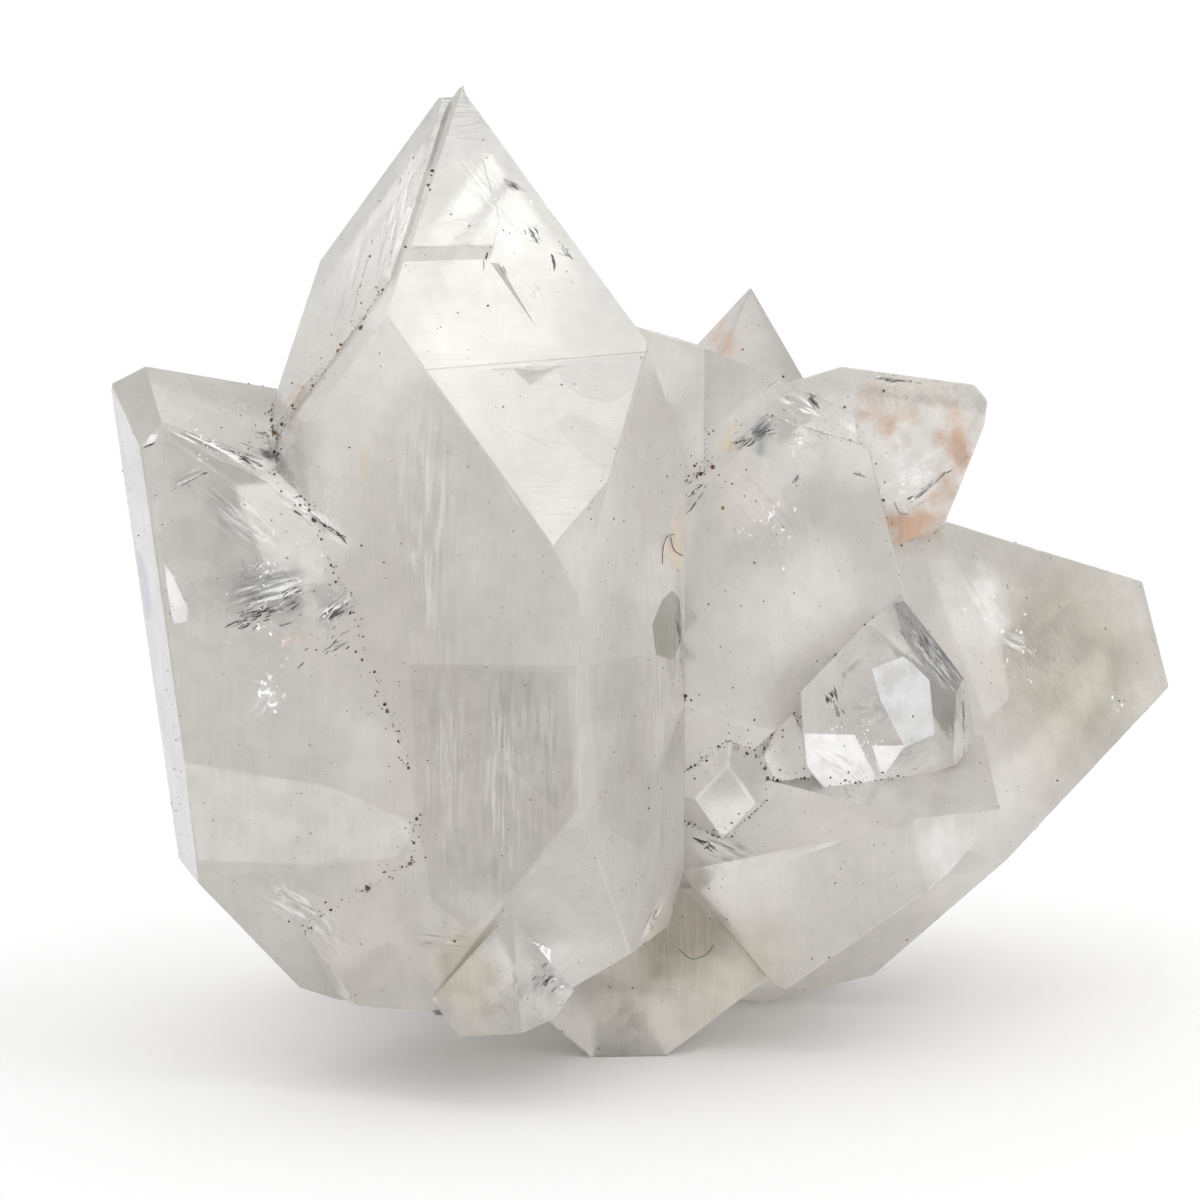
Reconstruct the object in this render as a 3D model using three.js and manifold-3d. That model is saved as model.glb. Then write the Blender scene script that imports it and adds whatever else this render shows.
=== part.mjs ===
// Cluster of clear apophyllite crystals, grown together as one piece.
// Millimetres, +Z up, front towards -Y. The origin is the middle of the box's underside.
import * as THREE from "three";
import { ConvexGeometry } from "three/addons/geometries/ConvexGeometry.js";
import { mergeVertices } from "three/addons/utils/BufferGeometryUtils.js";
import Module from "manifold-3d";

const wasm = await Module();
wasm.setup();

// Apophyllite is tetragonal: four prism faces at right angles, and over each prism edge a pyramid
// face that leans in by the arctangent of the mineral's axial ratio.
const AXIAL_RATIO = 1.76;
const PYRAMID_TILT = Math.atan(AXIAL_RATIO);
const QUARTER_TURN = Math.PI / 2;

// How the larger crystals stand, in degrees: "lean" is how far the c axis leans to the right and
// towards the front, and "turn" is the turn about that axis.
const UPRIGHT = { lean: [0, -2], turn: -22.5 };
const TIPPED = { lean: [6, -2], turn: -25 };
const SIDEWAYS = { lean: [76.3, -3.4], turn: -52.8 };

// Crystals with the mineral's own shape. "prism" is how far each prism face lies from the axis
// through "core" (the tip, if not given), in the order right, back, left, front of the unturned
// crystal; "cap" is how much a flat end takes off the tip. "broken" holds further faces, written as
// below.
const SHAPELY = {
  main: {
    ...UPRIGHT, tip: [-9.8, -9, 53.4], length: 63, prism: [11, 5.3, 8.2, 9.6], about: [-10, -12, 28.4],
    broken: { cleavedFoot: [0, -90, 23.4], bevelledFoot: [-14, -59, 23.3], chip: [-61.3, 25.6, 11.18] },
  },
  mainShoulder: { ...UPRIGHT, tip: [-10.5, -8, 53.5], length: 40, prism: [8, 4, 7.7, 8], cap: 0.7 },
  mainPlate: {
    ...UPRIGHT, tip: [-9.58, -9.22, 53.6], core: [-9.8, -9, 53.4], length: 63,
    prism: [11, 5.3, 8.2, 9.6], about: [-8.1, -14.2, 44.5],
    broken: { riser: [-67, 0, 0], side: [11.3, -18.3, 0], upperSide: [24.4, 2.4, 1.01] },
  },
  pointed: { ...TIPPED, tip: [6.4, 7, 41.4], length: 40, prism: [6, 6, 6, 6] },
  right: { ...SIDEWAYS, tip: [35.6, 13, 21.7], length: 60, prism: [14.4, 7, 9, 15], cap: 5.6 },
  middle: { ...SIDEWAYS, tip: [21.4, 5, 29.8], length: 45, prism: [13.7, 5, 6, 10.2], cap: 7.8 },
  middleLedge: {
    lean: [84.3, -3.4], turn: -52.8,
    tip: [20.8, 6.2, 30], length: 36, prism: [10, 5, 5, 10.2], cap: 8.4,
  },
  nook: { lean: [4, 0], turn: -2, tip: [5.1, -5.5, 19.4], length: 10.6, prism: [3.2, 3, 2.6, 2.6] },
  nookSmall: { lean: [8, 0], turn: -30, tip: [8.3, -4.5, 18.9], length: 8.3, prism: [2.2, 3, 2, 2.2] },
  rearTall: { lean: [-4, 13], turn: 8, tip: [-9, 2.5, 38], length: 60, prism: [6.5, 5, 6, 6] },
  rearLeft: { lean: [-8, -10], turn: 14, tip: [-12, 13.5, 30], length: 48, prism: [6, 5, 5.5, 6] },
  rearRight: { lean: [4, -14], turn: -8, tip: [7, 19, 29], length: 40, prism: [6.5, 4, 6, 6] },
  rearRow: { lean: [22, -38], turn: 30, tip: [19, 25, 24], length: 20, prism: [2.6, 3, 2.2, 2.6] },
  rearRowEnd: {
    lean: [40, -30], turn: 12, tip: [26, 19.5, 19], length: 20, prism: [2.2, 2, 2, 2.4], cap: 1,
  },
  rearRowFoot: { lean: [8, -62], turn: 40, tip: [1, 22.5, 13], length: 24, prism: [2.6, 2.4, 2.6, 2.2] },
  rearSmall: { lean: [-30, -34], turn: 20, tip: [-16, 16, 20], length: 22, prism: [3, 3, 3.5, 3] },
};

// Crystals with too few whole faces left to show that shape. Each face is its outward direction
// (azimuth from +X towards +Y, then elevation, in degrees) and its distance from "about".
const IRREGULAR = {
  left: {
    about: [-20, -12, 17.5],
    faces: {
      front: [-98, 2.5, 6.5], upperFront: [-97, 8.5, 6.6], frontBevel: [-86, 28, 11.1],
      top: [-62, 58.5, 15.8], side: [-162, -5, 5.9], corner: [-138, 36, 15.9],
      topBack: [90, 44, 15.3], sideBack: [138, -13, 3.5], under: [-95, -24, 8.3],
      underSide: [-168, -42, 7.6], underFlat: [-163, -71, 11.4], foot: [-115, -84, 13],
      back: [85, 5, 9.2], right: [0, 0, 7.9],
    },
  },
  rightBlock: {
    about: [15, 7, 30.5],
    faces: {
      front: [-95, 8, 4.9], topLeft: [145, 70, 6.5], top: [58, 74, 5], corner: [4, 39, 6.4],
      cornerLow: [-4, -7, 4.4], right: [-3, -21.5, 3.2], under: [-33, -63, 4.2], left: [180, 0, 7],
      back: [85, 0, 6],
    },
  },
  low: {
    about: [11, -3, 8.5],
    faces: {
      front: [-107, -4, 7.4], shelf: [-119, 36.5, 8.1], right: [-70, 6, 10.4],
      rightUnder: [-8, -41, 3.7], foot: [19, -66, 2.9], footLeft: [136, -58, 2.8],
      leftUnder: [154, -41, 3.3], sideUnder: [-6, -52, 2.3], back: [90, 0, 9],
      top: [-80, 80, 7], end: [0, 0, 8.6],
    },
  },
  bright: {
    about: [14, 0, 17.5],
    faces: {
      front: [-66, 4, 5.2], topFront: [-44, 28, 5.6], topBack: [59, 23, 0.9], right: [-26, 0, 5],
      rightBack: [53, -15, 2.2], lower: [-60, -20, 5.7], under: [52, -77, 1.8],
      lowerLeft: [172, -36, 3.9], left: [174, -4, 4.2], topLeft: [162, 40, 3.7], back: [90, 0, 8],
    },
  },
  frontFoot: {
    about: [1, -4, 3.5],
    faces: {
      front: [-86, 10, 4.6], leftLow: [180, -50, 5.1], left: [-177, -22, 6.6], rightLow: [7, -54, 2.7],
      right: [5, -25, 4.7], top: [-80, 85, 6], back: [90, 0, 10],
    },
  },
  frontSmall: {
    about: [-7, -17, 7.5],
    faces: {
      front: [-118, -8, 5.7], right: [-68, -5, 6.4], topLeft: [157, 44, 0.5], lowLeft: [144, -36, 1.8],
      foot: [33, -70, 1.8], topRight: [24, 40, 0.1], lowRight: [39, -36, -0.1], back: [80, 0, 6.8],
    },
  },
  gap: {
    about: [1, -1, 19.5],
    faces: {
      right: [8, 0, 2], top: [23, 73, 18.9], front: [-72, 0, 4.1], left: [180, 0, 3.3],
      back: [90, 0, 7], foot: [0, -90, 6.8],
    },
  },
};

// A face as a half-space: its outward unit normal and its offset along that normal.
const halfSpace = (normal, point) => ({ normal, offset: normal.dot(point) });

function facesAbout(about, directions) {
  const centre = new THREE.Vector3(...about);
  return Object.values(directions).map(([azimuth, elevation, distance]) => {
    const [a, e] = [azimuth, elevation].map(THREE.MathUtils.degToRad);
    const normal = new THREE.Vector3(Math.cos(e) * Math.cos(a), Math.cos(e) * Math.sin(a), Math.sin(e));
    return halfSpace(normal, centre.clone().addScaledVector(normal, distance));
  });
}

function tetragonalFaces(crystal) {
  const { tip, core = tip, length, lean, turn, prism, cap = 0, about = tip, broken = {} } = crystal;
  const [right, front, spin] = [...lean, turn].map(THREE.MathUtils.degToRad);
  const stance = new THREE.Matrix4()
    .makeRotationY(right)
    .multiply(new THREE.Matrix4().makeRotationX(front))
    .multiply(new THREE.Matrix4().makeRotationZ(spin));
  const direction = (x, y, z) => new THREE.Vector3(x, y, z).transformDirection(stance);
  const axis = direction(0, 0, 1);
  const top = new THREE.Vector3(...tip);
  const bottom = top.clone().addScaledVector(axis, -length);
  const middle = new THREE.Vector3(...core);
  const faces = facesAbout(about, broken);
  prism.forEach((distance, k) => {
    const side = direction(Math.cos(k * QUARTER_TURN), Math.sin(k * QUARTER_TURN), 0);
    faces.push(halfSpace(side, middle.clone().addScaledVector(side, distance)));
    const edge = (k + 0.5) * QUARTER_TURN;
    const [x, y] = [Math.sin(PYRAMID_TILT) * Math.cos(edge), Math.sin(PYRAMID_TILT) * Math.sin(edge)];
    faces.push(halfSpace(direction(x, y, Math.cos(PYRAMID_TILT)), top));
    faces.push(halfSpace(direction(x, y, -Math.cos(PYRAMID_TILT)), bottom));
  });
  if (cap > 0) faces.push(halfSpace(axis, top.clone().addScaledVector(axis, -cap)));
  return faces;
}

// Where three faces meet, if they do.
function meetingPoint(a, b, c) {
  const [ab, bc, ca] = [[a, b], [b, c], [c, a]].map(([p, q]) => p.normal.clone().cross(q.normal));
  const volume = a.normal.dot(bc);
  if (Math.abs(volume) < 1e-6) return null;
  const sum = bc.multiplyScalar(a.offset).addScaledVector(ca, b.offset).addScaledVector(ab, c.offset);
  return sum.divideScalar(volume);
}

function cornersOf(faces) {
  const corners = [];
  for (let i = 0; i < faces.length; i++) {
    for (let j = i + 1; j < faces.length; j++) {
      for (let k = j + 1; k < faces.length; k++) {
        const point = meetingPoint(faces[i], faces[j], faces[k]);
        if (!point || faces.some((f) => f.normal.dot(point) > f.offset + 1e-5)) continue;
        if (!corners.some((other) => other.distanceTo(point) < 1e-3)) corners.push(point);
      }
    }
  }
  return corners;
}

function solidFrom(geometry) {
  geometry.deleteAttribute("normal");
  geometry.deleteAttribute("uv");
  const merged = mergeVertices(geometry, 1e-4);
  return new wasm.Manifold(
    new wasm.Mesh({
      numProp: 3,
      vertProperties: merged.getAttribute("position").array,
      triVerts: new Uint32Array(merged.index.array),
    }),
  );
}

function geometryFrom(solid) {
  const { vertProperties, triVerts } = solid.getMesh();
  const shared = new THREE.BufferGeometry();
  shared.setAttribute("position", new THREE.BufferAttribute(vertProperties, 3));
  shared.setIndex(new THREE.BufferAttribute(triVerts, 1));
  const geometry = shared.toNonIndexed();
  geometry.computeBoundingBox();
  const { min, max } = geometry.boundingBox;
  geometry.translate(-(min.x + max.x) / 2, -(min.y + max.y) / 2, -min.z);
  geometry.computeVertexNormals();
  return geometry;
}

const crystals = [
  ...Object.values(SHAPELY).map(tetragonalFaces),
  ...Object.values(IRREGULAR).map(({ about, faces }) => facesAbout(about, faces)),
].map((faces) => solidFrom(new ConvexGeometry(cornersOf(faces))));

// Everything is joined, then cut off flat where the cluster stood on its rock.
const BELOW_GROUND = new THREE.BoxGeometry(160, 160, 60).translate(0, 0, -30);
const grown = crystals.reduce((joined, crystal) => joined.add(crystal)).subtract(solidFrom(BELOW_GROUND));

const cluster = new THREE.Mesh(
  geometryFrom(grown),
  new THREE.MeshStandardMaterial({ color: 0xdcdbd6, roughness: 0.12, metalness: 0 }),
);
cluster.name = "apophyllite_cluster";

const specimen = new THREE.Group();
specimen.add(cluster);
export default specimen;
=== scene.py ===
"""Looks of the apophyllite cluster: the crystals' finish, what is inside them, and what lies on them.

Everything is in the CAD frame. Places are in millimetres and become metres where a mesh is made.
"""

import math
import random

import bmesh
import bpy
import numpy as np
from mathutils import Matrix, Vector, noise
from mathutils.bvhtree import BVHTree
from mathutils.geometry import area_tri


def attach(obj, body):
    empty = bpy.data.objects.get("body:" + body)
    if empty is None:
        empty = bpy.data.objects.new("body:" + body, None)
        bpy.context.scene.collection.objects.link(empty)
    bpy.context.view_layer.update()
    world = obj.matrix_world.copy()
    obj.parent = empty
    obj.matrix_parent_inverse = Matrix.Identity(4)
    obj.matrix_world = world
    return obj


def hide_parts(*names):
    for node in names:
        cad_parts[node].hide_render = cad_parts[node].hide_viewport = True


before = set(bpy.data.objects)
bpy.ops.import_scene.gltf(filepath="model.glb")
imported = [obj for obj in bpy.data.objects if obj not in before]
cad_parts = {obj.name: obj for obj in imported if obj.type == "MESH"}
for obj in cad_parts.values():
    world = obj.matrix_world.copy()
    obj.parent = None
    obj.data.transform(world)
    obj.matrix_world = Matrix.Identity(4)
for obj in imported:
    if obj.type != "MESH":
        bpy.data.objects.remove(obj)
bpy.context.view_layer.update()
MM = 0.001
CLUSTER = "apophyllite_cluster"
dice = random.Random(79)
noise.seed_set(4816)  # leaves the small soft patches near their centres

# The c axes of the crystals: the upright ones, the pointed one behind, and the two on their side.
C_AXES = [Vector((0, 0.035, 0.999)), Vector((0.104, 0.035, 0.994)), Vector((0.970, 0.059, 0.236))]
PYRAMID_COSINE = 0.494  # of the angle between a pyramid face's normal and the c axis
AXIS_MATCH = 0.012
# About the longest edges of the crystals' skin, plain and near small marks.
MESH_STEP, FINE_STEP = 1.2, 0.35
CRYSTAL_IOR = 1.535
AIR_IOR = 0.651  # of air seen from within the crystal
DUST_COUNT = 5200
CLEAR_OF_FLOOR = 0.5 * MM  # no grain or speck lies lower

# Body colours, linear.
MILK = (0.84, 0.81, 0.762)
CLEAR = (0.91, 0.893, 0.86)
WHITE = (0.97, 0.965, 0.955)
SMOKY = (0.57, 0.515, 0.39)
BEIGE = (0.70, 0.63, 0.53)
DUN = (0.57, 0.50, 0.40)
INK = (0.07, 0.065, 0.055)
OLIVE = (0.46, 0.455, 0.36)
# painted shade of the cleft between the crystals
CLEFT_SHADE = (0.27, 0.265, 0.21)
# painted shade: the darker tone of the left side face
DUSK = (0.60, 0.62, 0.66)
DUSK_WHITE = (0.78, 0.79, 0.81)
# painted reflection: the blue of a nearby object seen on the left side face
REFLECTED_BLUE = (0.36, 0.44, 0.68)
INDIGO = (0.22, 0.25, 0.30)
SLATE = (0.14, 0.14, 0.13)
UMBER = (0.31, 0.26, 0.18)
SILVER = (0.60, 0.605, 0.61)
STEEL = (0.42, 0.425, 0.43)
PEACH = (0.63, 0.38, 0.25)
RUST = (0.76, 0.58, 0.36)
# GLOW and SHADE are painted light and painted shade rather than body colours.
GLOW = (0.95, 0.93, 0.89)
SHADE = (0.72, 0.69, 0.64)
HAZE = (0.68, 0.67, 0.64)
CLOUDY = (WHITE, PEACH, RUST, UMBER, BEIGE, DUN, INK, DUSK, DUSK_WHITE)  # those that let little light through

# Where the crystals are clear rather than milky: centre, radii, how clear.
CLEAR_ZONES = {
    "main_tip": ((-11, -11, 50), (12, 14, 11.5), 0.5),
    "left_top": ((-22.5, -15, 31), (7.5, 9, 9.5), 0.75),
    "right_block": ((15, 4, 33), (7, 8, 6.5), 0.7),
    "middle_roof": ((9, -1, 35), (7, 5, 3.2), 0.7),
    "bright": ((12.5, -5, 18.5), (6, 5, 5.2), 0.85),
    "front_small": ((-7, -22, 7), (4.5, 6, 3.6), 0.6),
    "right_inside": ((23, 5, 20), (12, 9, 11), 0.3),
    "nook": ((4.5, -8, 14.5), (4, 4, 4), 0.5),
    "gap": ((1, -10.5, 24.5), (1.5, 4, 3.6), 0.7),
    "main_foot": ((-8, -20, 17), (6.5, 6, 7), 0.2),
    "rear_tall": ((-9, 3, 37), (6, 6, 8), 0.6),
    "rear_left": ((-13, 15, 26), (6, 7, 7), 0.6),
    "rear_right": ((7, 20, 25), (7, 7, 7), 0.6),
    "rear_foot": ((2, 18, 8), (9, 8, 5), 0.4),
    "right_end": ((26, 16, 17), (6, 8, 6), 0.5),
}

# Soft patches of other colour in the body: centre, radii, colour, strength. Those named glow are painted
# light, those named shade or shadow painted shade.
TINTS = {
    "right_haze": ((24.0, 5, 19.8), (9.5, 9, 9.5), SMOKY, 0.9),
    "right_haze_upper": ((20.3, 4, 22.5), (2.6, 6, 3.0), OLIVE, 0.35),
    "right_haze_mid": ((21.5, 4, 19.5), (2.0, 6, 2.6), OLIVE, 0.3),
    "right_haze_end": ((27.2, 7, 19.0), (1.6, 5, 3.4), OLIVE, 0.42),
    "right_cloud": ((18.6, 3.4, 23.4), (1.3, 4, 3.4), WHITE, 0.7),
    "main_glow": ((-6.5, -22, 30), (7, 6, 9), GLOW, 0.8),
    "main_foot_glow": ((-6, -19, 11), (9, 7, 6), GLOW, 0.9),
    "nook_glow": ((4.5, -8, 14.5), (4, 4, 4), GLOW, 0.6),
    "front_glow": ((-5.0, -22, 7.5), (3.0, 4, 3.8), WHITE, 0.45),
    "front_shade": ((-9.3, -23.0, 5.9), (1.4, 2, 0.8), UMBER, 0.5),
    "front_left": ((-10.5, -22, 7.0), (2.8, 4, 3.8), DUN, 0.85),
    "left_foot_glow": ((-18, -18, 9), (5, 5, 5), GLOW, 0.6),
    "middle_foot_glow": ((3.5, -8, 26), (3.5, 5, 4), GLOW, 0.7),
    "main_shade": ((-16.5, -17, 34), (4, 4, 7), SHADE, 0.7),
    "tip_glow": ((-14.5, -11, 45), (4, 6, 5), GLOW, 0.7),
    "middle_shade": ((6.5, -3.5, 31.5), (6.5, 5, 5.5), SHADE, 0.35),
    "low_shade": ((8.5, -12, 9.0), (7, 5, 5), SHADE, 0.35),
    "foot": ((-2, -9, 3.5), (6, 5, 5), BEIGE, 0.8),
    "foot_right": ((3.5, -8.5, 4.5), (6, 5, 5), BEIGE, 0.9),
    "foot_shadow": ((1.2, -8.8, 6.8), (3.4, 4, 5.0), UMBER, 1.0),
    "foot_shadow_left": ((-0.4, -13.4, 8.2), (1.6, 3, 1.8), BEIGE, 0.8),
    # painted shade in the cleft between the crystals
    "gap": ((0.9, -11, 23.0), (1.2, 4, 4.4), UMBER, 0.65),
    "gap_rust": ((0.6, -11.2, 28.6), (0.8, 3, 1.8), RUST, 0.8),
    "left_foot": ((-15.5, -19, 8.5), (5, 4, 4), BEIGE, 0.35),
    "left_disc": ((-20.7, -17.7, 27.2), (3.2, 3, 2.4), STEEL, 0.9),
    "left_feather": ((-17.4, -18.2, 26.2), (1.6, 3, 1.3), STEEL, 0.7),
    "left_smudge": ((-23.0, -17, 30.8), (1.8, 3, 2.4), SILVER, 0.6),
    "left_toothed": ((-20.8, -15.7, 34.2), (1.2, 2.2, 1.4), INK, 0.7),
    "left_toothed_low": ((-20.1, -16.7, 33.5), (0.7, 1.4, 0.9), INK, 0.6),
    "left_cream": ((-25.4, -17.2, 25.6), (1.0, 2, 1.6), WHITE, 0.4),
    "rear_haze": ((-10, 12, 16), (8, 8, 8), SMOKY, 0.5),
    "peach_end": ((16.9, 1.8, 33.0), (1.4, 3, 2.6), PEACH, 1.0),
    "peach_left": ((12.9, 2.2, 33.9), (1.5, 3, 1.8), PEACH, 0.85),
    "peach_seam": ((14.6, 1.4, 28.3), (2.6, 3, 1.5), PEACH, 1.0),
    "peach_right_low": ((16.4, 1.5, 30.0), (1.0, 3, 1.2), PEACH, 0.8),
    "peach_nook": ((-19.6, -13.2, 36.3), (1.4, 3, 2.2), PEACH, 0.8),
    "peach_spot": ((-20.0, -18.2, 24.4), (0.8, 2, 0.8), PEACH, 0.4),
    "peach_block_a": ((14.3, 2.2, 34.6), (0.8, 3, 0.9), PEACH, 0.6),
    "peach_block_b": ((15.6, 1.9, 31.0), (0.7, 3, 1.0), PEACH, 0.5),
    "peach_block_c": ((12.3, 2.4, 35.4), (0.9, 3, 0.7), PEACH, 0.5),
    "beige_block": ((15.0, 2.4, 35.8), (3.2, 3, 1.6), BEIGE, 0.6),
    "beige_middle": ((5.0, -4.0, 30.4), (3.0, 3, 3.4), BEIGE, 0.35),
    "beige_seam": ((1.2, -9.0, 29.6), (1.4, 3, 4.0), BEIGE, 0.6),
    "peach_rear": ((12, 17, 26), (3, 4, 3), PEACH, 0.6),
    "peach_rear_left": ((-19, 7, 30), (2.5, 3, 4), PEACH, 0.6),
    "rear_dark": ((2, 21, 12), (4, 4, 3), UMBER, 0.5),
    "peach_sliver": ((3.4, 4.8, 38.3), (1.2, 3, 2.4), PEACH, 0.8),
    "pale_block": ((13.4, 1.8, 31.8), (1.1, 3, 1.5), WHITE, 0.9),
    "pale_block_right": ((15.1, 1.7, 31.2), (0.9, 3, 1.2), WHITE, 0.9),
    "bright_dark": ((15.9, -4.5, 18.2), (1.1, 3, 2.4), OLIVE, 0.8),
    "bright_fan": ((15.6, -4.0, 21.6), (1.9, 3, 2.6), STEEL, 0.7),
    "kite_grey": ((-3.4, -14.0, 42.0), (3.4, 3, 4.2), HAZE, 0.55),
    "kite_cloud": ((-8.0, -12.6, 46.2), (1.6, 3, 1.8), WHITE, 0.3),
    "middle_blue": ((5.3, -3.2, 33.8), (1.4, 2, 0.9), INDIGO, 0.9),
    "middle_gold": ((4.0, -3.8, 33.1), (0.6, 1, 0.5), RUST, 0.7),
    "stain": ((-15.6, -18.5, 34.4), (0.5, 1, 1.2), RUST, 0.5),
    "low_pale": ((15.6, -12.0, 12.2), (1.8, 3, 2.8), WHITE, 0.6),
}

# Bundles of fine bright and dark streaks, which are healed cracks and growth lines: centre, direction,
# reach along and across it, how dense the bright ones are, how dense the dark ones.
STREAKS = {
    "left_pyramid": ((-13.9, -12.5, 46.5), (-1.9, -7.3, -7.1), 6.5, 1.6, 1.0, 0.8),
    "left_pyramid_low": ((-16.5, -11.0, 43.5), (-1.9, -7.3, -7.1), 4.5, 1.6, 0.6, 0.5),
    "kite_upper": ((-9.5, -12.5, 48.0), (1.0, -0.4, -1.2), 3.0, 1.6, 0.3, 0.35),
    "kite_dark_a": ((-8.0, -11.6, 48.2), (0.7, 0, -0.4), 0.9, 0.4, 0.2, 1.0),
    "kite_dark_b": ((-7.0, -12.9, 45.7), (0.5, 0, -1), 0.9, 0.5, 0.3, 1.0),
    "kite_dark_c": ((-5.2, -12.8, 44.7), (1, 0.1, -0.2), 0.7, 0.4, 0.3, 1.0),
    "kite_dark_d": ((-6.7, -14.8, 42.7), (0.1, -0.3, -1), 0.7, 0.35, 0.3, 0.8),
    "kite_bands": ((-11.2, -14.2, 46.4), (3.2, 1.4, -0.6), 2.4, 1.6, 0.1, 0.35),
    "kite_lines": ((-7.6, -20.0, 35.9), (4.2, 0.2, -2.4), 2.6, 0.6, 0.0, 0.3),
    "main_left": ((-11.6, -20.7, 19.0), (0, 0, 1), 7.5, 1.8, 0.3, 0.1),
    "main_middle": ((-8.5, -22.0, 17.5), (0, 0, 1), 8.5, 1.8, 0.35, 0.1),
    "main_ridge": ((-6.4, -22.9, 19.5), (0, 0, 1), 6.0, 1.6, 0.1, 0.22),
    "main_right": ((-0.2, -13.6, 18.0), (0, 0, 1), 7.5, 1.7, 0.4, 0.4),
    "main_upper": ((-12.5, -20.0, 31.0), (0, 0, 1), 9.0, 2.6, 0.3, 0.06),
    "main_upper_right": ((-0.6, -15.0, 28.0), (0, 0, 1), 5.0, 2.0, 0.25, 0.06),
    "main_foot": ((-11.8, -21.0, 9.0), (1, -0.4, 0), 1.9, 0.9, 0.3, 0.6),
    "main_foot_fan": ((-0.5, -14.6, 8.8), (1.5, 3.7, 2.3), 2.4, 0.8, 1.0, 0.5),
    "left_band": ((-24.0, -16.2, 34.6), (5.4, -1.0, -2.5), 3.4, 0.5, 1.0, 0.8),
    "left_band_low": ((-18.5, -17.6, 31.0), (3.5, -1.2, -2.4), 3.4, 0.6, 0.8, 0.7),
    "left_toothed": ((-20.8, -14.6, 34.4), (0.6, -3.9, -2.5), 1.9, 0.9, 0.3, 1.0),
    "left_scratch": ((-25.3, -16.3, 33.0), (2.1, -0.1, 1.1), 1.3, 0.24, 1.0, 0.5),
    "left_disc": ((-20.8, -17.7, 27.0), (4.8, -0.5, 1.4), 2.8, 1.5, 0.8, 0.9),
    "left_feather": ((-17.4, -18.2, 26.2), (1.5, -0.3, 1.2), 1.5, 0.7, 0.9, 0.8),
    "left_smudge": ((-22.5, -17, 31.0), (2, -0.2, -1.6), 3.2, 1.6, 0.35, 0.45),
    "left_flecks": ((-21.1, -18.6, 21.6), (1.6, 0.1, 2.1), 1.9, 0.9, 0.4, 0.0),
    "left_foot": ((-19.2, -18.8, 9.8), (3.6, -0.2, -2.7), 3.6, 1.5, 0.8, 0.15),
    "middle_roof": ((8.0, -0.6, 35.2), (3.0, 1.3, -1.2), 2.2, 0.7, 1.0, 0.4),
    "middle_blue": ((4.6, -3.3, 33.7), (1.5, 0.8, 0.8), 1.1, 0.45, 0.4, 1.0),
    "middle_lens": ((11.2, 1.0, 33.7), (1.8, 0.9, -0.9), 1.6, 0.4, 0.7, 0.8),
    "middle_slash": ((7.8, -2.4, 31.6), (0.6, 0.5, 0.6), 0.6, 0.2, 1.0, 0.3),
    "middle_scatter": ((5.8, -4.3, 30.0), (1.0, 0.3, -1.3), 2.6, 1.9, 0.16, 0.12),
    "block_dark": ((15.0, 1.5, 30.0), (2.2, 0.1, 1.7), 1.4, 0.5, 0.5, 1.0),
    "block_top": ((13.0, 2.5, 36.4), (1, 0, 0), 1.2, 0.3, 0.3, 1.0),
    "gap": ((0.7, -11.1, 22.5), (0, 0, 1), 3.4, 0.7, 0.3, 0.8),
    "bright_edge": ((15.4, -4.0, 21.8), (3.1, 0.3, -4.6), 3.6, 1.5, 0.6, 1.0),
    "bright_fan": ((16.4, -4.5, 17.7), (0.3, 0, -2.8), 1.7, 0.6, 0.4, 1.0),
    "bright_facet": ((9.8, -7.5, 16.1), (2.2, 0.7, -1.6), 2.0, 0.9, 0.5, 0.25),
    "low_band": ((3.3, -8.7, 11.6), (1.9, -1.5, -0.6), 2.2, 1.3, 1.0, 0.8),
    "low_line": ((8.9, -11.1, 12.0), (4.8, -1.6, 1.7), 3.2, 0.22, 0.8, 0.1),
    "right_mottle": ((22.5, 4.5, 20.5), (0.4, 0.2, -1), 4.0, 3.4, 0.12, 0.14),
    "right_chips": ((20.7, 4.1, 20.9), (1.2, 0.5, -0.7), 1.6, 0.9, 0.7, 0.2),
    "right_cloud": ((18.6, 3.4, 23.4), (2.9, 0.2, -5.2), 3.4, 0.7, 0.5, 0.1),
    "front_silver": ((-6.9, -22.5, 7.3), (1.9, 2.4, 0.5), 1.9, 1.1, 1.0, 1.0),
    "foot_scratch": ((1.1, -9.0, 3.5), (1.1, 0, -0.3), 0.9, 0.12, 1.0, 0.0),
    "rear_a": ((-8, 9, 30), (0, 0.2, 1), 9.0, 2.6, 0.6, 0.3),
    "rear_b": ((8, 21, 20), (0, -0.2, 1), 7.0, 2.2, 0.6, 0.3),
    "rear_c": ((-18, 12, 18), (0.3, 0.4, 1), 6.0, 2.4, 0.5, 0.3),
    "right_side": ((28, 12, 18), (0.1, 0.9, 0.1), 6.0, 2.0, 0.5, 0.3),
}

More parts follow.
